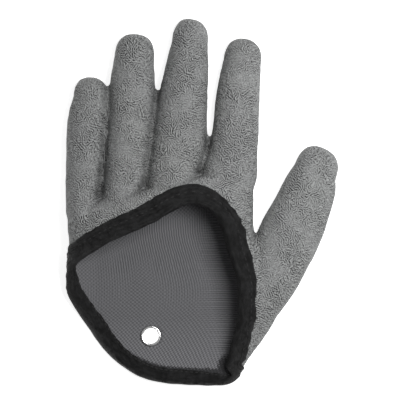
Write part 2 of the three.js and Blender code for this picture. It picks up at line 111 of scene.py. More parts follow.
# Little to index finger, then thumb: root across and along, lean, length, width, height, sections
SECTION = "along left right height"
DIGITS = [
    (0.085, 0.807, 4.1, 80, 23.6, 19.5, Table(SECTION, [
        (-0.16, 0.2, 0.4, 1.1), (0.0, 0.39, 0.48, 1.3), (0.1, 0.425, 0.46, 1.22),
        (0.17, 0.45, 0.425, 1.14), (0.3, 0.475, 0.45, 1.06), (0.6, 0.53, 0.48, 1.0),
        (0.75, 0.5, 0.485, 0.97), (0.86, 0.42, 0.45, 0.92)])),
    (0.296, 0.854, 4.85, 99.5, 27.4, 21, Table(SECTION, [
        (-0.16, 0.4, 0.4, 1.1), (-0.02, 0.5, 0.5, 1.26), (0.06, 0.47, 0.5, 1.2),
        (0.15, 0.45, 0.49, 1.12), (0.3, 0.46, 0.52, 1.05), (0.6, 0.47, 0.535, 1.0),
        (0.75, 0.47, 0.485, 0.97), (0.86, 0.43, 0.435, 0.92)])),
    (0.561, 0.878, 6.0, 105.5, 28, 22, Table(SECTION, [
        (-0.16, 0.4, 0.4, 1.0), (-0.02, 0.58, 0.55, 1.22), (0.1, 0.59, 0.6, 1.15),
        (0.17, 0.58, 0.54, 1.1), (0.3, 0.56, 0.605, 1.04), (0.45, 0.545, 0.56, 1.0),
        (0.6, 0.5, 0.52, 0.99), (0.75, 0.425, 0.475, 0.95), (0.86, 0.36, 0.415, 0.9)])),
    (0.847, 0.878, 6.2, 94, 27, 21.5, Table(SECTION, [
        (-0.16, 0.4, 0.25, 1.0), (-0.02, 0.6, 0.46, 1.22), (0.12, 0.66, 0.6, 1.14),
        (0.2, 0.6, 0.61, 1.1), (0.3, 0.51, 0.57, 1.04), (0.45, 0.47, 0.545, 1.0),
        (0.6, 0.48, 0.5, 0.98), (0.75, 0.45, 0.465, 0.95), (0.86, 0.395, 0.44, 0.9)])),
    (1.037, 0.393, 20.8, 96.5, 29, 23, Table(SECTION, [
        (-0.26, 0.35, 0.12, 0.42), (-0.15, 0.5, 0.24, 0.6), (-0.03, 0.58, 0.39, 0.8),
        (0.14, 0.62, 0.54, 0.97), (0.31, 0.62, 0.615, 1.02), (0.47, 0.6, 0.665, 1.0),
        (0.62, 0.52, 0.645, 0.98), (0.77, 0.46, 0.6, 0.95), (0.86, 0.39, 0.49, 0.9)])),
]

# How fine the cloth is, and how often it is smoothed
COAT_GRAIN, LINER_GRAIN = 1.15, 1.15
COAT_ROUNDS, LINER_ROUNDS = 3, 6
SMOOTH_PULL, SMOOTH_PUSH = 0.6, -0.63
PALM_SIDES, PALM_RINGS = 220, 110
DIGIT_SIDES, DIGIT_RINGS, TIP_RINGS, TIP_END = 56, 59, 14, 84
RIM_STATIONS, RIM_STEPS, STEP_SMOOTHING = 720, 24, 15
EYELET_SIDES = 112

# Lumps in the cloth: height, size and seed, and how flat the latex gets where it lies on the table
COAT_LUMPS = ((0.1, 9.0, 1), (0.12, 3.4, 2))
LINER_LUMP_HEIGHT, LINER_LUMP_SIZE, LINER_LUMP_SEED, LINER_HOLLOW = 0.3, 11.0, 3, -0.15
TABLE_CLEARANCE, TABLE_FADE, LEAST_LUMP = 0.8, 2.5, 0.12

# Where the cloth ends: its first row from the rim, how far a digit stands off the palm, the wrist's end
FIRST_ROW, DIGIT_STAND, WRIST_END = 0.5, 2.5, 0.1

# Painted shade in the valleys between the fingers: the grid that finds them, how deep the shade starts,
# how near an edge it ends
CREASE_CELL, CREASE_SHIFT = 1.9, 0.9
CREASE_START, CREASE_RANGE = 0.7, 1.8
COVER_START, COVER_RANGE = 0.75, 0.15
GRID_MARGIN = 6

# The tape: its faces towards the cloth, its rows of points, its relief and its stitches
OUTER_BASE, INNER_BASE = -TAPE_GAP, LINER_INSIDE + TAPE_GAP
OUTER_SHARES = np.concatenate([np.linspace(1, 0.12, 13), [0.04]])
INNER_SHARES = np.linspace(0.05, 1, 11)
FOLD_TURNS = np.radians(np.linspace(18, 162, 7))
PUCKER, FINE_PUCKER, RIPPLE, FOLD_SWAY = 0.75, 0.3, 0.28, 0.35
CLOTH_CLEARANCE, CLOTH_REACH, MOST_LIFT, FOLD_ROWS, CORNER_REACH = 0.12, 6, 1.4, 1.2, 16
THREAD_START, THREAD_AIM = 1.2, 1.5
STITCH_PITCH, STITCH_LENGTH, STITCH_THICK = 3.3, 2.3, 0.34
STITCH_SIDES, STITCH_RINGS, STITCH_SINK = 6, 7, 0.25
SEAM_DEPTH, SEAM_WIDTH, SEAM_SINK = 6.6, 0.75, 0.34

# The latex's ridges and the wrist's place in metres, the knit's and the tape's threads in millimetres
RIDGE_SPACING, RIDGE_WAVES, RIDGE_TILT = 0.00128, 9, 33
WRIST_Y = -0.084
WALE, COURSE, WEAVE = 1.45, 1.3, 0.9


def place_x(across):
    return (across - REST_ACROSS) * PALM_WIDTH


def place_y(along):
    return (along - REST_ALONG) * PALM_LENGTH


def foot_at(along):
    """Height of the palm's underside, which is lifted a little under the heel of the hand."""
    t = np.clip((np.asarray(along, float) - HEEL_END) / (HEEL_TOP - HEEL_END), 0, 1)
    return HEEL_LIFT * (1 - t * t * (3 - 2 * t))


def power(value, roundness):
    """A sine or cosine bent so that its oval turns squarer with more roundness."""
    return np.sign(value) * np.abs(value) ** (2 / roundness)


def oval(left, right, top, foot, back, under, turn, offset):
    """Across and height of a point on a section with a flat foot. The turn is 0 at the left side."""
    rise, reach = np.sin(turn), -np.cos(turn)
    middle = foot + (top - foot) * SIDE_HEIGHT
    roundness = np.where(rise > 0, back, under)
    half = np.where(reach < 0, left, right)
    radius = np.where(rise > 0, top - middle, middle - foot + FLAT_DEPTH)
    x = (half - offset) * power(reach, roundness)
    z = middle + (radius - offset) * power(rise, roundness)
    return x, np.maximum(z, foot + offset)


def palm_oval(along, turn, offset):
    """Points on the palm's sections, by the turn round each section."""
    left, right = PALM.read("left", along), PALM.read("right", along)
    half, foot = (right - left) / 2 * PALM_WIDTH, foot_at(along)
    top = foot + PALM.read("height", along) * PALM_HEIGHT
    x, z = oval(half, half, top, foot, BACK_ROUNDNESS, PALM_ROUNDNESS, turn, offset)
    y = place_y(along) + PALM.read("slant", along) * PALM_LENGTH * x / half
    return np.stack([place_x((left + right) / 2) + x, y, z], axis=-1)


# Turn of the point that has gone a given share of the way round each section
ROUND_ALONG, ROUND_SHARE = np.linspace(-0.17, 0.955, 450), np.linspace(0, 1, 1441)


def round_turns():
    near = np.geomspace(1e-8, 0.05, 60)
    corners = np.add.outer(np.arange(5) * math.pi / 2, np.concatenate([-near, near])).ravel()
    turns = np.concatenate([np.linspace(0, 2 * math.pi, 721), corners])
    turns = np.unique(np.clip(turns, 0, 2 * math.pi))
    rows = []
    for along in ROUND_ALONG:
        points = palm_oval(np.full(turns.shape, along), turns, 0.0)[:, [0, 2]]
        lengths = np.concatenate([[0], np.cumsum(np.linalg.norm(np.diff(points, axis=0), axis=1))])
        rows.append(np.interp(ROUND_SHARE, lengths / lengths[-1], turns))
    return np.array(rows)


ROUND_TURNS = round_turns()


def palm_point(along, around, offset):
    """Points of the palm's surface, offset millimetres inside it."""
    along, around = np.broadcast_arrays(np.asarray(along, float), np.asarray(around, float))
    share = np.clip((along - ROUND_ALONG[0]) / (ROUND_ALONG[-1] - ROUND_ALONG[0]), 0, 1)
    i = share * (len(ROUND_ALONG) - 1)
    k = (around - np.floor(around)) * (len(ROUND_SHARE) - 1)
    i0 = np.minimum(i.astype(int), len(ROUND_ALONG) - 2)
    k0 = np.minimum(k.astype(int), len(ROUND_SHARE) - 2)
    along_part, around_part = i - i0, k - k0
    low = ROUND_TURNS[i0, k0] * (1 - around_part) + ROUND_TURNS[i0, k0 + 1] * around_part
    high = ROUND_TURNS[i0 + 1, k0] * (1 - around_part) + ROUND_TURNS[i0 + 1, k0 + 1] * around_part
    return palm_oval(along, low * (1 - along_part) + high * along_part, offset)


def around_at(face, across, along):
    """Share of the way round the palm at which a face of it lies so far across."""
    if face == LEFT_FOLD:
        return 0.0
    if face == RIGHT_FOLD:
        return 0.5
    low, high = (0.0, 0.5) if face == BACK else (1.0, 0.5)
    for _ in range(30):
        middle = (low + high) / 2
        if palm_point(along, middle, 0.0)[0] < place_x(across):
            low = middle
        else:
            high = middle
    return (low + high) / 2


def ring_smoothed(values, wide):
    """Values round a ring averaged over their neighbours on both sides."""
    padded = np.concatenate([values[-wide:], values, values[:wide]])
    return np.convolve(padded, np.hanning(2 * wide + 1) / wide, mode="same")[wide:-wide]


class Rim:
    """The edge of the opening as evenly spaced stations."""

    def __init__(self, count):
        knots = np.array([(around_at(*knot[:3]), *knot[2:]) for knot in RIM])
        turn = np.array([1.0, 0, 0])
        ring = np.concatenate([knots[-1:] - turn, knots, knots[:2] + turn])
        t = np.linspace(0, 1, RIM_STEPS + 1)[:-1, None]
        curve = []
        for a, b, c, d in zip(ring, ring[1:], ring[2:], ring[3:]):
            span = 2 * b + (c - a) * t
            span = span + (2 * a - 5 * b + 4 * c - d) * t**2
            span = span + (3 * b - a - 3 * c + d) * t**3
            curve.append(0.5 * span)
        curve = np.concatenate([*curve, ring[-2:-1]])
        points = palm_point(curve[:, 1], curve[:, 0], 0.0)
        lengths = np.concatenate([[0], np.cumsum(np.linalg.norm(np.diff(points, axis=0), axis=1))])
        self.length = lengths[-1]
        self.run = np.arange(count) * self.length / count
        self.around, self.along, self.tape = (np.interp(self.run, lengths, column) for column in curve.T)
        self.points = palm_point(self.along, self.around, 0.0)
        self.set_steps()

    def set_steps(self):
        """How far along and around the palm one millimetre into the cloth goes, at each station."""
        nudge = 0.004
        edge = np.roll(self.points, -4, axis=0) - np.roll(self.points, 4, axis=0)
        edge /= np.linalg.norm(edge, axis=1)[:, None]
        upward = (palm_point(self.along + nudge, self.around, 0.0) - self.points) / nudge
        sideways = (palm_point(self.along, self.around + nudge, 0.0) - self.points) / nudge
        outward = -np.cross(sideways, upward)
        outward /= np.linalg.norm(outward, axis=1)[:, None]
        inward = -np.cross(outward, edge)
        inward /= np.linalg.norm(inward, axis=1)[:, None]
        uu, us, ss = (upward * upward).sum(1), (upward * sideways).sum(1), (sideways * sideways).sum(1)
        iu, si = (inward * upward).sum(1), (inward * sideways).sum(1)
        size = uu * ss - us * us
        self.step_along = ring_smoothed((iu * ss - si * us) / size, STEP_SMOOTHING)
        self.step_around = ring_smoothed((si * uu - iu * us) / size, STEP_SMOOTHING)

    def cloth_point(self, depth, offset):
        """A point for each station, so deep into the cloth from the rim."""
        along, around = self.along + self.step_along * depth, self.around + self.step_around * depth
        return palm_point(along, around, offset)

    def covers(self, along, around):
        """True where a place on the palm is cloth and not opening."""
        next_around = np.append(self.around[1:], self.around[0] + 1)
        next_along = np.append(self.along[1:], self.along[0])
        span = np.where(next_around == self.around, 1, next_around - self.around)
        inside = np.zeros(len(along), bool)
        batch_size = 4000
        for turn in (-1, 0, 1):
            for start in range(0, len(along), batch_size):
                batch = slice(start, start + batch_size)
                at = around[batch, None] + turn
                crosses = (self.around <= at) != (next_around <= at)
                height = self.along + (at - self.around) / span * (next_along - self.along)
                under = crosses & (height < along[batch, None])
                inside[batch] ^= under.sum(1) % 2 == 1
        return inside


RIM_LINE = Rim(RIM_STATIONS)


def tube(rings):
    """Points and faces of a closed tube through rings of points."""
    count, sides = len(rings), len(rings[0])
    points = np.concatenate([np.concatenate(rings), [rings[0].mean(0)], [rings[-1].mean(0)]])
    ring, side = np.meshgrid(np.arange(count - 1), np.arange(sides), indexing="ij")
    after = (side + 1) % sides
    here, there = ring * sides, (ring + 1) * sides
    faces = np.stack([here + side, here + after, there + after, there + side]).reshape(4, -1).T.tolist()
    first, last = count * sides, count * sides + 1
    for i in range(sides):
        j = (i + 1) % sides
        faces.append((first, j, i))
        faces.append((last, (count - 1) * sides + i, (count - 1) * sides + j))
    return points, faces


def palm_tube(offset):
    around = np.linspace(0, 1, PALM_SIDES + 1)[:-1]
    rings = np.linspace(PALM.at[0], PALM.at[-1] - offset / PALM_LENGTH, PALM_RINGS)
    return tube([palm_point(np.full(around.shape, along), around, offset) for along in rings])


def digit_tube(digit, offset):
    across, root_along, lean, length, width, height, rows = digit
    lean = math.radians(lean)
    axis = np.array([math.sin(lean), math.cos(lean), 0])
    side = np.array([math.cos(lean), -math.sin(lean), 0])
    root = np.array([place_x(across), place_y(root_along), 0])
    turns = np.linspace(0, 2 * math.pi, DIGIT_SIDES + 1)[:-1]
    start, tip = rows.at[0], 1 - TIP_BLUNTNESS * width / length
    dome = (1 - tip) * length - offset

    def ring(share, forward, shrink):
        foot = float(foot_at(root_along + forward * axis[1] / PALM_LENGTH))
        left = float(rows.read("left", share)) * width - FINGER_GAP / 2
        right = float(rows.read("right", share)) * width - FINGER_GAP / 2
        top = foot + float(rows.read("height", share)) * height
        x, z = oval(left, right, top, foot, DIGIT_ROUNDNESS, DIGIT_ROUNDNESS, turns, offset)
        middle = foot + (top - foot) * SIDE_HEIGHT
        points = root + axis * forward + side * (x * shrink)[:, None]
        points[:, 2] = middle + (z - middle) * shrink
        return points

    rings = [ring(share, share * length, 1.0) for share in np.linspace(start, tip, DIGIT_RINGS + 1)[:-1]]
    for angle in np.radians(np.linspace(0, TIP_END, TIP_RINGS)):
        forward = tip * length + dome * float(power(math.sin(angle), TIP_ROUNDNESS))
        rings.append(ring(tip, forward, float(power(math.cos(angle), TIP_ROUNDNESS))))
    return tube(rings)


def mesh_of(name, points, faces):
    mesh = bpy.data.meshes.new(name)
    mesh.from_pydata((np.asarray(points) * MM).tolist(), [], faces)
    mesh.update()
    return mesh


def piece_of(name, mesh):
    piece = bpy.data.objects.new(name, mesh)
    bpy.context.scene.collection.objects.link(piece)
    return piece


def points_of(mesh):
    points = np.empty(len(mesh.vertices) * 3)
    mesh.vertices.foreach_get("co", points)
    return points.reshape(-1, 3) / MM


def set_points(mesh, points):
    mesh.vertices.foreach_set("co", (points * MM).ravel())
    mesh.update()


def carry(mesh, name, values):
    """Stores three numbers at each point of the mesh, which its material reads."""
    layer = mesh.attributes.new(name, "FLOAT_VECTOR", "POINT")
    layer.data.foreach_set("vector", values.astype(np.float32).ravel())


def applied(piece):
    """The piece's mesh with its modifiers worked in."""
    worked = piece.evaluated_get(bpy.context.evaluated_depsgraph_get())
    mesh = bpy.data.meshes.new_from_object(worked)
    bpy.data.objects.remove(piece)
    return mesh


def smoothed(points, edges, rounds):
    """Points moved towards their neighbours and back, which rounds creases and keeps the size."""
    count = np.bincount(edges.ravel(), minlength=len(points))[:, None]
    for amount in (SMOOTH_PULL, SMOOTH_PUSH) * rounds:
        total = np.zeros_like(points)
        for axis in range(3):
            total[:, axis] = np.bincount(edges[:, 0], points[edges[:, 1], axis], len(points))
            total[:, axis] += np.bincount(edges[:, 1], points[edges[:, 0], axis], len(points))
        points = points + amount * (total / count - points)
    return points


def hand_skin(name, offset, grain, rounds):
    """One smooth closed skin round the palm and the digits."""
    points, faces, start = [], [], 0
    for part_points, part_faces in [palm_tube(offset)] + [digit_tube(digit, offset) for digit in DIGITS]:
        points.append(part_points)
        faces.extend(tuple(i + start for i in face) for face in part_faces)
        start += len(part_points)
    piece = piece_of(name, mesh_of(name, np.concatenate(points), faces))
    remesh = piece.modifiers.new("remesh", "REMESH")
    remesh.mode, remesh.voxel_size, remesh.adaptivity = "VOXEL", grain * MM, 0
    mesh = applied(piece)
    edges = np.empty(len(mesh.edges) * 2, int)
    mesh.edges.foreach_get("vertices", edges)
    set_points(mesh, smoothed(points_of(mesh), edges.reshape(-1, 2), rounds))
    return mesh


def point_tree(points):
    tree = KDTree(len(points))
    for i, point in enumerate(points):
        tree.insert(point, i)
    tree.balance()
    return tree


def places_on_palm(points, offset):
    """Nearest place on the palm for each point, and how far off the palm it is."""
    rings = np.linspace(PALM.at[0], PALM.at[-1], 300)
    along, around = np.meshgrid(rings, np.arange(600) / 600, indexing="ij")
    tree = point_tree(palm_point(along, around, offset).reshape(-1, 3))
    found = [tree.find(point)[1:] for point in points]
    index = np.array([i for i, _ in found])
    return along.ravel()[index], around.ravel()[index], np.array([distance for _, distance in found])


def is_cloth(points, along, around, off):
    """True on the palm's cloth and on the digits, false over the opening and at the wrist's end."""
    digit = (off > DIGIT_STAND) & (points[:, 1] > place_y(WRIST_END))
    return RIM_LINE.covers(along, around) | digit


def rim_depths(points, offset, cloth):
    """Distance of each point from the rim, positive into the cloth."""
    tree = point_tree(palm_point(RIM_LINE.along, RIM_LINE.around, offset))
    distance = np.array([tree.find(point)[2] for point in points])
    return np.where(cloth, distance, -distance)


def cut_open(mesh, depths):
    """Points and faces without the opening and the eyelet's hole, and which of the points they keep."""
    points = points_of(mesh)
    centre = np.array([place_x(EYELET_ACROSS), place_y(EYELET_ALONG)])
    far = np.linalg.norm(points[:, :2] - centre, axis=1)
    low = points[:, 2] < HEEL_LIFT + LINER_INSIDE + 2
    keep = (depths > FIRST_ROW) & ((far > EYELET_SEAT) | ~low)
    faces = np.array([tuple(p.vertices) for p in mesh.polygons if len(p.vertices) == 4])
    faces = faces[keep[faces].all(1)]
    kept, index = np.unique(faces, return_inverse=True)
    faces = index.reshape(faces.shape)
    points, far, low = points[kept], far[kept], low[kept]
    ends = np.sort(np.stack([faces, np.roll(faces, -1, axis=1)], axis=-1).reshape(-1, 2), axis=1)
    edges, uses = np.unique(ends, axis=0, return_counts=True)
    border = np.zeros(len(points), bool)
    border[edges[uses == 1].ravel()] = True
    ring = border & low & (far < EYELET_SEAT + 3)
    points[ring, :2] = centre + (points[ring, :2] - centre) * (EYELET_SEAT / far[ring])[:, None]
    return points, faces, kept


def normals_of(points, faces):
    a, b, c, d = (points[faces[:, i]] for i in range(4))
    face_normals = np.cross(c - a, d - b)
    normals = np.zeros_like(points)
    for i in range(4):
        for axis in range(3):
            normals[:, axis] += np.bincount(faces[:, i], face_normals[:, axis], len(points))
    return normals / np.maximum(np.linalg.norm(normals, axis=1), 1e-12)[:, None]


def lumps(points, size, seed):
    """Smooth random heights between about -1 and 1."""
    shift = Vector((seed * 17.3, seed * 5.1, seed * 9.7))
    return np.array([noise.noise(Vector(point) / size + shift) for point in points.tolist()]) * 1.6


def shell(name, points, faces, wall, layer, values):
    """A closed wall of cloth. A positive wall grows outwards from the points, a negative one inwards."""
    mesh = mesh_of(name, points, faces.tolist())
    carry(mesh, layer, values)
    piece = piece_of(name, mesh)
    solidify = piece.modifiers.new("wall", "SOLIDIFY")
    solidify.thickness, solidify.offset = abs(wall) * MM, math.copysign(1, wall)
    solidify.use_rim = True
    made = applied(piece)
    made.name = name
    made.shade_smooth()
    return piece_of(name, made)


def blurred(grid, reach):
    """A grid averaged over its neighbours along both axes."""
    window = np.hanning(2 * reach + 1)
    window /= window.sum()
    for axis in (0, 1):
        grid = np.apply_along_axis(np.convolve, axis, grid, window, mode="same")
    return grid


def crease_depths(points):
    """How deep each point of the upper side lies in a valley between fingers, from 0 to 1, which sets how
    much shade is painted into the latex there.
    """
    places = (points[:, :2] - points[:, :2].min(0)) / CREASE_CELL + GRID_MARGIN
    cells = np.round(places).astype(int)
    heights = np.zeros(cells.max(0) + GRID_MARGIN + 1)
    np.maximum.at(heights, tuple(cells.T), points[:, 2])
    cover = blurred((heights > 0).astype(float), 4)
    around = blurred(heights, 4) / np.maximum(cover, 0.01)
    valley = np.clip((around - heights - CREASE_START) / CREASE_RANGE, 0, 1)
    valley = valley * np.clip((cover - COVER_START) / COVER_RANGE, 0, 1)
    valley = blurred(valley * (heights > 0), 2)
    places[:, 0] += CREASE_SHIFT / CREASE_CELL
    low = np.floor(places).astype(int)
    share = places - low
    depth = 0
    for dx in (0, 1):
        for dy in (0, 1):
            weight = np.abs(1 - dx - share[:, 0]) * np.abs(1 - dy - share[:, 1])
            depth = depth + weight * valley[low[:, 0] + dx, low[:, 1] + dy]
    return depth * (points[:, 2] > heights[tuple(cells.T)] - 3)


def make_coat():
    mesh = hand_skin("coat_skin", 0.0, COAT_GRAIN, COAT_ROUNDS)
    points = points_of(mesh)
    along, around, off = places_on_palm(points, 0.0)
    cloth = is_cloth(points, along, around, off)
    points, faces, _ = cut_open(mesh, rim_depths(points, 0.0, cloth))
    normals = normals_of(points, faces)
    off_table = np.clip((points[:, 2] - TABLE_CLEARANCE) / TABLE_FADE, LEAST_LUMP, 1)
    relief = sum(height * lumps(points, size, seed) for height, size, seed in COAT_LUMPS)
    points = points + normals * (relief * off_table)[:, None]
    points[:, 2] = np.maximum(points[:, 2], 0.0)
    # Painted shade: the valley depths darken the latex's colour between the fingers, where shadow falls
    painted_crease_shade = np.stack([crease_depths(points)] * 3, axis=1)
    return points, faces, shell("latex_coat_piece", points, faces, -COAT_WALL, "painted_crease_shade", painted_crease_shade)


def make_liner():
    mesh = hand_skin("liner_skin", LINER_INSIDE, LINER_GRAIN, LINER_ROUNDS)
    points = points_of(mesh)
    along, around, off = places_on_palm(points, LINER_INSIDE)
    cloth = is_cloth(points, along, around, off)
    depths = rim_depths(points, LINER_INSIDE, cloth)
    points, faces, kept = cut_open(mesh, depths)
    girth = 2 * (PALM_WIDTH + PALM_HEIGHT) * 0.87
    round_palm = ((around[kept] + 0.75) % 1) * girth
    knit = np.stack([round_palm, along[kept] * PALM_LENGTH, depths[kept]], axis=1)
    normals = normals_of(points, faces)
    long_lumps = lumps(points * np.array([1.0, 0.35, 1.0]), LINER_LUMP_SIZE, LINER_LUMP_SEED)
    relief = np.maximum(LINER_LUMP_HEIGHT * long_lumps, LINER_HOLLOW)
    points = points - normals * relief[:, None] * 0.6
    return points, faces, shell("knit_liner_piece", points, faces, LINER_WALL, "knit", knit)


def surface_tree(points, faces):
    return BVHTree.FromPolygons(points.tolist(), faces.tolist())


def lift_over(tree, points, inside):
    """How far each point of the tape has to move to clear the cloth."""
    lift = np.zeros(len(points))
    for i, point in enumerate(points.tolist()):
        near, normal, _, distance = tree.find_nearest(Vector(point))
        if near is None or distance > CLOTH_REACH:
            continue
        height = (Vector(point) - near).dot(normal) * (-1 if inside else 1)
        lift[i] = max(0.0, CLOTH_CLEARANCE - height)
    return lift


def ring_noise(angles, radius, level):
    """Smooth random values round a ring, which meet where the ring closes."""
    levels = np.broadcast_to(level, angles.shape)
    places = [(math.cos(a) * radius, math.sin(a) * radius, z) for a, z in zip(angles, levels)]
    return np.array([noise.noise(Vector(place)) for place in places])


def ring_faces(rings, sides):
    """Faces of a tube that closes on itself, by its rings and its sides."""
    ring, side = np.meshgrid(np.arange(rings), np.arange(sides), indexing="ij")
    after, below = (ring + 1) % rings * sides, (side + 1) % sides
    here = ring * sides
    return np.stack([here + side, after + side, after + below, here + below]).reshape(4, -1).T


class TapeShape:
    """The folded tape as rows along the rim, from the outer hem over the fold to the inner hem."""

    def __init__(self, rim, coat_tree, liner_tree):
        self.rim = rim
        self.angles = rim.run / rim.length * 2 * math.pi
        wave = ring_noise(self.angles, 14, 3.1)
        self.fold_wave = ring_noise(self.angles, 9, 7.7)
        self.reach = TAPE_OUTSIDE * rim.tape + 0.9 * wave
        self.hem = TAPE_INSIDE * rim.tape + 0.6 * wave
        self.outer = [(share, share * self.reach) for share in OUTER_SHARES]
        self.inner = [(share, share * self.hem) for share in INNER_SHARES]
        self.outer_lifts = [self.lift(depth, OUTER_BASE, coat_tree, False) for _, depth in self.outer]
        self.inner_lifts = [self.lift(depth, INNER_BASE, liner_tree, True) for _, depth in self.inner]

    def lift(self, depth, base, tree, inside):
        """How far a row stands off its base to clear the cloth. Rows in the fold need none."""
        if depth.max() <= FOLD_ROWS:
            return np.zeros(len(depth))
        lift = lift_over(tree, self.rim.cloth_point(depth, base), inside)
        return np.minimum(np.maximum(lift, ring_smoothed(lift, 6)), MOST_LIFT)

    def puckers(self, depth, side):
        """Random puckers, a long soft ripple and the seam's groove with a dimple at each stitch."""
        values = PUCKER * ring_noise(self.angles, 17, side * 5 + depth * 0.08)
        values += FINE_PUCKER * ring_noise(self.angles, 40, side * 9 + depth * 0.16)
        values += RIPPLE * np.cos(depth / self.reach * 2.2 * math.pi + 5.0 * self.fold_wave)
        groove = np.exp(-(((depth - SEAM_DEPTH * self.rim.tape) / SEAM_WIDTH) ** 2))
        dimples = 0.65 + 0.35 * np.cos(self.rim.run / STITCH_PITCH * 2 * math.pi)
        return values * (1 - 0.6 * groove) - SEAM_SINK * groove * dimples

    def top_rise(self, share, depth, lift, side):
        """How far the tape's top stands off its base. It rounds off towards the hem."""
        width, round_off, fullness = ((TAPE_OUTSIDE, 0.55, 0.12), (TAPE_INSIDE, 0.5, 0.1))[side]
        edge_round = round_off * np.exp(-(((1 - share) * width / 0.8) ** 2))
        return TAPE_CLOTH + lift - edge_round + (self.puckers(depth, side) + fullness)

    def layer(self, top):
        """Depth, offset and weave mark of each row of the tape's top, or of its underside."""
        rows = []
        for (share, depth), lift in zip(self.outer, self.outer_lifts):
            rise = self.top_rise(share, depth, lift, 0) if top else lift
            rows.append((depth, OUTER_BASE - rise, depth))
        middle, bend = (OUTER_BASE + INNER_BASE) / 2, (INNER_BASE - OUTER_BASE) / 2
        out = bend + TAPE_CLOTH + 0.25 * self.fold_wave if top else bend
        fold = TAPE_FOLD if top else TAPE_FOLD - TAPE_CLOTH
        for turn in FOLD_TURNS:
            depth = -fold * math.sin(turn) + FOLD_SWAY * self.fold_wave
            rows.append((depth, middle - out * math.cos(turn), np.full(len(depth), -turn)))
        for (share, depth), lift in zip(self.inner, self.inner_lifts):
            rise = self.top_rise(share, depth, lift, 1) if top else lift
            rows.append((depth, INNER_BASE + rise, -5 - depth))
        return rows

    def eased(self, row):
        """A row of points, smoothed where the tape turns the wrist's thumb corner."""
        count = len(row)
        corner = np.argmin(np.abs(self.rim.around - 0.5))
        from_corner = (np.arange(count) - corner + count // 2) % count - count // 2
        at_corner = np.exp(-((from_corner / CORNER_REACH) ** 2))[:, None]
        smooth = np.stack([ring_smoothed(axis, 12) for axis in row.T], axis=1)
        return row + (smooth - row) * at_corner


def make_tape(coat_tree, liner_tree):
    rim = RIM_LINE
    shape = TapeShape(rim, coat_tree, liner_tree)
    section = shape.layer(True) + shape.layer(False)[::-1]
    rows = [shape.eased(rim.cloth_point(depth, offset)) for depth, offset, _ in section]
    marks = [np.stack([rim.run, mark, np.zeros(len(rim.run))], axis=1) for _, _, mark in section]
    points = np.stack(rows, axis=1).reshape(-1, 3)
    points[:, 2] = np.maximum(points[:, 2], 0.35)
    faces = ring_faces(RIM_STATIONS, len(rows))[:, ::-1]
    mesh = mesh_of("edge_binding_piece", points, faces.tolist())
    carry(mesh, "tape", np.stack(marks, axis=1))
    mesh.shade_smooth()
    return points, faces, piece_of("edge_binding_piece", mesh)


def stitch_dash(centre, along, away, start):
    """Points and faces of one dash of thread, thickest in its middle and sunk at its ends."""
    across = along.cross(away).normalized()
    points, faces = [], []
    for end in np.linspace(-1, 1, STITCH_RINGS):
        girth = STITCH_THICK * math.sqrt(max(1 - end**4, 0.04))
        middle = centre + along * (end * STITCH_LENGTH / 2) + away * (-STITCH_SINK * end**2)
        for turn in np.linspace(0, 2 * math.pi, STITCH_SIDES + 1)[:-1]:
            side, up = girth * math.cos(turn), girth * 0.8 * math.sin(turn)
            points.append(middle + across * side + away * up)
    rings = [start + i * STITCH_SIDES for i in range(STITCH_RINGS)]
    for ring, after in zip(rings, rings[1:]):
        for k in range(STITCH_SIDES):
            m = (k + 1) % STITCH_SIDES
            faces.append((ring + k, ring + m, after + m, after + k))
    faces.append(tuple(rings[0] + k for k in range(STITCH_SIDES))[::-1])
    faces.append(tuple(rings[-1] + k for k in range(STITCH_SIDES)))
    return points, faces


def make_stitches(tape_points, tape_faces):
    """A row of dashes of thread along the seam, on both halves of the tape."""
    tree = surface_tree(tape_points, tape_faces)
    rim, points, faces = RIM_LINE, [], []
    count = int(rim.length / STITCH_PITCH)
    outer_start = OUTER_BASE - TAPE_CLOTH - THREAD_START
    inner_start = INNER_BASE + TAPE_CLOTH + THREAD_START
    for base, aim in ((outer_start, THREAD_AIM), (inner_start, -THREAD_AIM)):
        line = rim.cloth_point(SEAM_DEPTH * rim.tape, base)
        under = rim.cloth_point(SEAM_DEPTH * rim.tape, base + aim)
        for n in range(count):
            at = int((n + 0.5) / count * len(line)) % len(line)
            away = Vector(line[at] - under[at]).normalized()
            hit = tree.ray_cast(Vector(line[at]) + away, -away)[0]
            if hit is None:
                continue
            along = Vector(line[(at + 2) % len(line)] - line[at - 2]).normalized()
            dash = stitch_dash(hit + away * (STITCH_THICK * 0.12), along, away, len(points))
            points.extend(dash[0])
            faces.extend(dash[1])
    mesh = mesh_of("binding_stitches", np.array([tuple(p) for p in points]), faces)
    mesh.shade_smooth()
    return piece_of("binding_stitches", mesh)


def turned(name, profile):
    """A turned piece at the eyelet's place, from its closed half section."""
    angles = np.linspace(0, 2 * math.pi, EYELET_SIDES + 1)[:-1, None]
    radius, height = np.array(profile, float).T
    x = place_x(EYELET_ACROSS) + radius * np.cos(angles)
    y = place_y(EYELET_ALONG) + radius * np.sin(angles)
    points = np.stack([x, y, np.broadcast_to(height, x.shape)], axis=-1).reshape(-1, 3)
    mesh = mesh_of(name, points, ring_faces(EYELET_SIDES, len(profile)).tolist())
    mesh.shade_smooth()
    return piece_of(name, mesh)


def arc(centre, reach, rise, start, end, steps):
    """Points on an oval arc, between two angles in degrees."""
    angles = np.radians(np.linspace(start, end, steps))
    return [(centre[0] + reach * math.cos(a), centre[1] + rise * math.sin(a)) for a in angles]


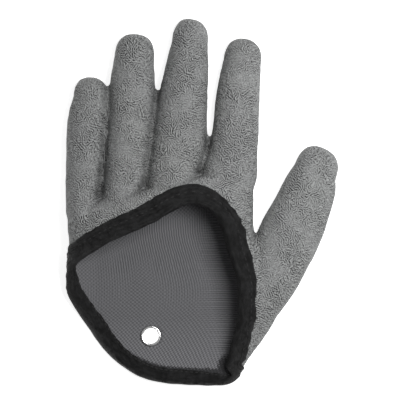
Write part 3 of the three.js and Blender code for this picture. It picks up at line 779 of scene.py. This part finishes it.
def make_eyelet():
    """A rolled flange on the liner, a barrel through both layers and a lip under the washer."""
    hole, flange, lip = EYELET_HOLE / 2, EYELET_FLANGE / 2, EYELET_LIP / 2
    barrel, roll = hole + EYELET_BARREL, (flange - hole) / 2
    foot = HEEL_LIFT + LINER_INSIDE + LAYER_GAP
    low = HEEL_LIFT - WASHER_GAP - WASHER_THICK - WASHER_GAP
    crown = arc((hole + roll, foot + FLANGE_EDGE), roll, EYELET_RISE - FLANGE_EDGE, 0, 180, 17)
    lower = [
        (hole, low + 0.1), (hole + 0.2, low - 0.3), (hole + 0.7, low - 0.5), (lip - 0.4, low - 0.5),
        (lip, low - 0.25), (lip - 0.25, low), (barrel, low),
    ]
    return turned("eyelet_piece", crown + lower + [(barrel, foot), (flange - 0.1, foot)])


def make_washer():
    top = HEEL_LIFT - WASHER_GAP
    low, half = top - WASHER_THICK, WASHER_THICK / 2
    hole, edge = EYELET_HOLE / 2 + EYELET_BARREL + WASHER_GAP, WASHER_WIDTH / 2
    outer = arc((edge - half, low + half), half, half, -90, 90, 8)
    return turned("eyelet_washer_piece", outer + [(hole, top), (hole, low)])


class Value:
    """A number in a material's maths. Its operators add Math nodes."""

    def __init__(self, finish, socket):
        self.finish, self.socket = finish, socket

    def maths(self, operation, *values):
        return self.finish.node("ShaderNodeMath", {"operation": operation}, dict(enumerate(values)))

    def __add__(self, other):
        return self.maths("ADD", self, other)

    def __radd__(self, other):
        return self.maths("ADD", other, self)

    def __sub__(self, other):
        return self.maths("SUBTRACT", self, other)

    def __rsub__(self, other):
        return self.maths("SUBTRACT", other, self)

    def __mul__(self, other):
        return self.maths("MULTIPLY", self, other)

    def __rmul__(self, other):
        return self.maths("MULTIPLY", other, self)

    def __truediv__(self, other):
        return self.maths("DIVIDE", self, other)

    def __pow__(self, other):
        return self.maths("POWER", self, other)

    def sine(self):
        return self.maths("SINE", self)

    def over(self, low, high):
        """0 below low, 1 above high and even in between."""
        return ((self - low) * (1 / (high - low))).clamped()

    def clamped(self):
        return self.finish.node("ShaderNodeClamp", {}, {"Value": self})


class Place(Value):
    """A place in a material's maths. Its operators add Vector Math nodes."""

    def vector(self, operation, sockets, output=0, kind=None):
        settings = {"operation": operation}
        return self.finish.node("ShaderNodeVectorMath", settings, sockets, output, kind or Place)

    def __add__(self, other):
        return self.vector("ADD", {0: self, 1: other})

    def __sub__(self, other):
        return self.vector("SUBTRACT", {0: self, 1: other})

    def __mul__(self, factor):
        return self.vector("SCALE", {0: self, "Scale": factor})

    def stretched(self, ways):
        return self.vector("MULTIPLY", {0: self, 1: ways})

    def dot(self, other):
        return self.vector("DOT_PRODUCT", {0: self, 1: other}, "Value", Value)

    def axis(self, output):
        return self.finish.node("ShaderNodeSeparateXYZ", {}, {0: self}, output)


class Finish:
    """One material and the nodes that make it."""

    def __init__(self, name):
        self.material = bpy.data.materials.new(name)
        self.material.use_nodes = True
        self.tree = self.material.node_tree
        self.shader = self.tree.nodes["Principled BSDF"]

    def node(self, kind, settings, sockets, output=0, made=Value):
        node = self.tree.nodes.new(kind)
        for key, value in settings.items():
            setattr(node, key, value)
        self.fill(node, sockets)
        return made(self, node.outputs[output])

    def fill(self, node, sockets):
        for key, value in sockets.items():
            if isinstance(value, Value):
                self.tree.links.new(value.socket, node.inputs[key])
            else:
                node.inputs[key].default_value = value

    def set(self, **sockets):
        self.fill(self.shader, {key.replace("_", " "): value for key, value in sockets.items()})

    def noise(self, place, scale, detail, roughness, distortion=0.0):
        sockets = {"Vector": place, "Scale": scale, "Detail": detail, "Roughness": roughness}
        return self.node("ShaderNodeTexNoise", {}, {**sockets, "Distortion": distortion})

    def mix(self, mask, a, b):
        return self.node("ShaderNodeMix", {"data_type": "RGBA"}, {0: mask, 6: a, 7: b}, output=2)

    def drift(self, place, scale):
        """A random vector from 0 to 1 each way that changes slowly from place to place."""
        sockets = {"Vector": place, "Scale": scale, "Detail": 2.0}
        return self.node("ShaderNodeTexNoise", {}, sockets, "Color", Place)

    def place(self):
        return self.node("ShaderNodeTexCoord", {}, {}, "Object", Place)

    def layer(self, name):
        """The three numbers that a mesh carries at each point, such as the place in its cloth."""
        return self.node("ShaderNodeAttribute", {"attribute_name": name}, {}, "Vector", Place)

    def bump(self, height, distance, strength):
        sockets = {"Height": height, "Distance": distance, "Strength": strength}
        return self.node("ShaderNodeBump", {}, sockets)


def shade(level, tint=(1, 1, 1)):
    """A linear colour from a 0 to 255 brightness."""
    value = level / 255
    value = value / 12.92 if value <= 0.04045 else ((value + 0.055) / 1.055) ** 2.4
    return tuple(value * t for t in tint) + (1,)


def worm_ridges(f, place, spacing):
    """Curly ridges of one spacing, from about -1 to 1, side by side for a few like a fingerprint."""
    bent = place + (f.drift(place, 170.0) - (0.5, 0.5, 0.5)) * (spacing * 2.2)
    grain = f.noise(place, 190.0, 1.0, 0.5) * 16.0
    total = weights = 0
    for i in range(RIDGE_WAVES):
        angle = math.pi * (i + 0.4 * math.sin(5.3 * i)) / RIDGE_WAVES
        tilt = math.radians(RIDGE_TILT if i % 2 else -RIDGE_TILT)
        flat = 2 * math.pi / spacing
        way = (flat * math.cos(angle), flat * math.sin(angle), flat * math.tan(tilt))
        weight = ((grain + (math.pi / 2 - 2 * angle)).sine() * 0.5 + 0.5) ** 2
        total = (bent.dot(way) + 2.4 * i * i).sine() * weight + total
        weights = weight + weights
    return total / weights * 1.6


def latex_finish():
    f = Finish("crinkled_latex")
    place = f.place()
    ridges = (worm_ridges(f, place, RIDGE_SPACING) * 0.5 + 0.6).clamped()
    patches = f.noise(place, 85.0, 2.0, 0.5).over(0.34, 0.62)
    grit = f.noise(place, 1000.0, 2.0, 0.6)
    mottle = f.noise(place, 38.0, 3.0, 0.5)
    strength = patches * 0.75 + 0.3
    height = ridges * strength + grit * 0.5
    # Painted shade: the troughs between the ridges are darkened towards shade 40 as the relief's shadow;
    # the grit's share is random tone
    depth = 0.4 + (0.6 - ridges) * strength * 1.1 + (0.5 - grit) * 1.2
    smooth_tone = f.mix(mottle, shade(142, (0.985, 1, 1.01)), shade(150, (0.985, 1.01, 0.99)))
    tone = f.mix(depth.clamped(), smooth_tone, shade(40, (0.98, 1, 1)))
    # Painted shade: the latex is darkened towards shade 24 in the valleys between the fingers
    tone = f.mix((f.layer("painted_crease_shade").axis("X") * 1.1).clamped(), tone, shade(24))
    f.set(Base_Color=tone, Roughness=0.6 + 0.2 * grit, Normal=f.bump(height, 0.0009, 0.9))
    f.set(**{"Specular IOR Level": 0.3})
    return f.material


def knit_finish():
    f = Finish("knit_liner_yarn")
    cloth, place = f.layer("knit"), f.place()
    bend = f.noise(place, 24.0, 2.0, 0.5)
    wale = cloth.axis("X") * (2 * math.pi / WALE) + bend * 5.0
    course = cloth.axis("Y") * (2 * math.pi / COURSE) + bend * 7.0
    wales, courses = wale.sine() * 0.5 + 0.5, course.sine() * 0.5 + 0.5
    loops = (wale * 0.64).sine() * (course * 0.64).sine() * 0.5 + 0.5
    along = place.axis("Y")
    above_wrist = along.over(WRIST_Y, -0.076)
    rows = (place.axis("X") + bend * 0.03).over(0.036, 0.05) * above_wrist
    columns = f.noise(place, 30.0, 2.0, 0.5).over(0.38, 0.52) * along.over(-0.06, -0.03)
    open_mesh = wales * columns + loops * (1 - columns)
    yarn = courses * rows + open_mesh * (1 - rows)
    fuzz = f.noise(place, 2300.0, 2.0, 0.6)
    low = 1 - along.over(WRIST_Y, -0.058)
    light = f.mix(low, shade(101, (1, 1, 1.05)), shade(118, (1, 1, 1.05)))
    # Dark band along the rim at the wrist: partly the serging's dark thread, partly painted shade under
    # the tape's hem
    ragged = (f.noise(place, 700.0, 2.0, 0.6) - 0.5) * 3.0
    serging_and_shade = 1 - (cloth.axis("Z") + ragged).over(8.2, 9.4)
    at_wrist = 1 - along.over(WRIST_Y, -0.078)
    gaps = ((1 - yarn) * (0.6 + 0.2 * low) + serging_and_shade * 0.8 * at_wrist).clamped()
    tone = f.mix(gaps, light, shade(44, (1, 1, 1.06)))
    f.set(Base_Color=tone, Roughness=0.85, Normal=f.bump(yarn + fuzz * 0.4, 0.0004, 0.7))
    f.set(**{"Specular IOR Level": 0.2, "Sheen Weight": 0.1, "Sheen Roughness": 0.5})
    return f.material


def tape_finish():
    f = Finish("black_binding_tape")
    cloth, place = f.layer("tape"), f.place()
    warp = (cloth.axis("X") * (2 * math.pi / WEAVE)).sine()
    weft = (cloth.axis("Y") * (2 * math.pi / WEAVE)).sine()
    creases = f.noise(place, 200.0, 3.0, 0.6, 0.4)
    streaks = f.noise(cloth.stretched((0.16, 0.7, 1.0)), 1.0, 2.0, 0.55)
    lint = f.noise(place, 1900.0, 2.0, 0.6)
    height = warp * weft * 0.2 + creases * 1.2 + streaks * 1.6 + lint * 0.3
    # Painted sheen: the tape is lighter along its creases and long streaks, in place of the satin's
    # highlights
    painted_sheen = (creases + streaks - 0.5).over(0.36, 0.66)
    tone = f.mix(painted_sheen, shade(5, (1, 1, 1.04)), shade(25, (1, 1, 1.04)))
    f.set(Base_Color=tone, Roughness=0.6, Normal=f.bump(height, 0.0012, 0.7))
    f.set(**{"Specular IOR Level": 0.25})
    return f.material


def thread_finish():
    f = Finish("black_thread")
    place = f.place()
    twist = f.noise(place, 2600.0, 2.0, 0.5)
    f.set(Base_Color=f.mix(twist, shade(10), shade(24)), Roughness=0.7, Normal=f.bump(twist, 0.0002, 0.5))
    return f.material


def nickel_finish(name, low, high):
    f = Finish(name)
    place = f.place()
    scuffs = f.noise(place, 420.0, 4.0, 0.65)
    hairlines = f.noise(place, 2400.0, 2.0, 0.5)
    f.set(Base_Color=f.mix(scuffs, shade(low), shade(high)), Roughness=0.14 + 0.2 * scuffs, Metallic=1.0)
    f.set(Normal=f.bump(hairlines, 0.00005, 0.3))
    return f.material


def floor_finish():
    f = Finish("pale_table")
    place = f.place()
    mottle = f.noise(place, 9.0, 2.0, 0.5)
    f.set(Base_Color=f.mix(mottle, (0.93, 0.93, 0.93, 1), (0.95, 0.95, 0.95, 1)), Roughness=0.9)
    f.set(**{"Specular IOR Level": 0.1, "Emission Color": (1, 1, 1, 1), "Emission Strength": 0.75})
    return f.material


def dress(piece, finish, node):
    piece.data.materials.clear()
    piece.data.materials.append(finish)
    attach(piece, "root")
    if node:
        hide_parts(node)


coat_points, coat_faces, coat = make_coat()
liner_points, liner_faces, liner = make_liner()
coat_tree, liner_tree = surface_tree(coat_points, coat_faces), surface_tree(liner_points, liner_faces)
tape_points, tape_faces, tape = make_tape(coat_tree, liner_tree)
stitches = make_stitches(tape_points, tape_faces)
eyelet = make_eyelet()
washer = make_washer()

dress(coat, latex_finish(), "latex_coat")
dress(liner, knit_finish(), "knit_liner")
dress(tape, tape_finish(), "edge_binding")
dress(stitches, thread_finish(), None)
dress(eyelet, nickel_finish("bright_nickel", 205, 235), "eyelet")
dress(washer, nickel_finish("plain_nickel", 190, 220), "eyelet_washer")

# Table, camera and light
TABLE_REACH = 6000
corners = np.array([(-1, -1, 0), (1, -1, 0), (1, 1, 0), (-1, 1, 0)], float) * TABLE_REACH
table = piece_of("pale_table", mesh_of("pale_table", corners, [(0, 1, 2, 3)]))
table.data.materials.append(floor_finish())

VIEW_WIDTH, VIEW_CENTRE, VIEW_DISTANCE, SENSOR_WIDTH = 0.232, (0.0229, 0.0096), 6.0, 36
camera_data = bpy.data.cameras.new("camera")
camera_data.sensor_width = SENSOR_WIDTH
camera_data.lens = SENSOR_WIDTH * VIEW_DISTANCE / VIEW_WIDTH
camera_data.clip_start, camera_data.clip_end = 0.1, 50
camera = bpy.data.objects.new("camera", camera_data)
camera.location = (*VIEW_CENTRE, VIEW_DISTANCE)
bpy.context.scene.collection.objects.link(camera)
bpy.context.scene.camera = camera


def softbox(name, at, size, power):
    """A soft square light that faces the glove and that no view shows."""
    light = bpy.data.lights.new(name, "AREA")
    light.shape, light.size, light.energy = "SQUARE", size, power
    lamp = bpy.data.objects.new(name, light)
    lamp.location = at
    lamp.rotation_euler = Vector(at).to_track_quat("Z", "Y").to_euler()
    lamp.visible_camera = False
    bpy.context.scene.collection.objects.link(lamp)


softbox("thumb_side_light", (0.225, 0.085, 0.485), 0.26, 3.4)

world = bpy.data.worlds.new("studio")
world.use_nodes = True
background = world.node_tree.nodes["Background"]
background.inputs["Color"].default_value = (1, 1, 1, 1)
background.inputs["Strength"].default_value = 0.27
bpy.context.scene.world = world
bpy.context.scene.view_settings.view_transform = "Standard"
bpy.context.scene.view_settings.look = "None"
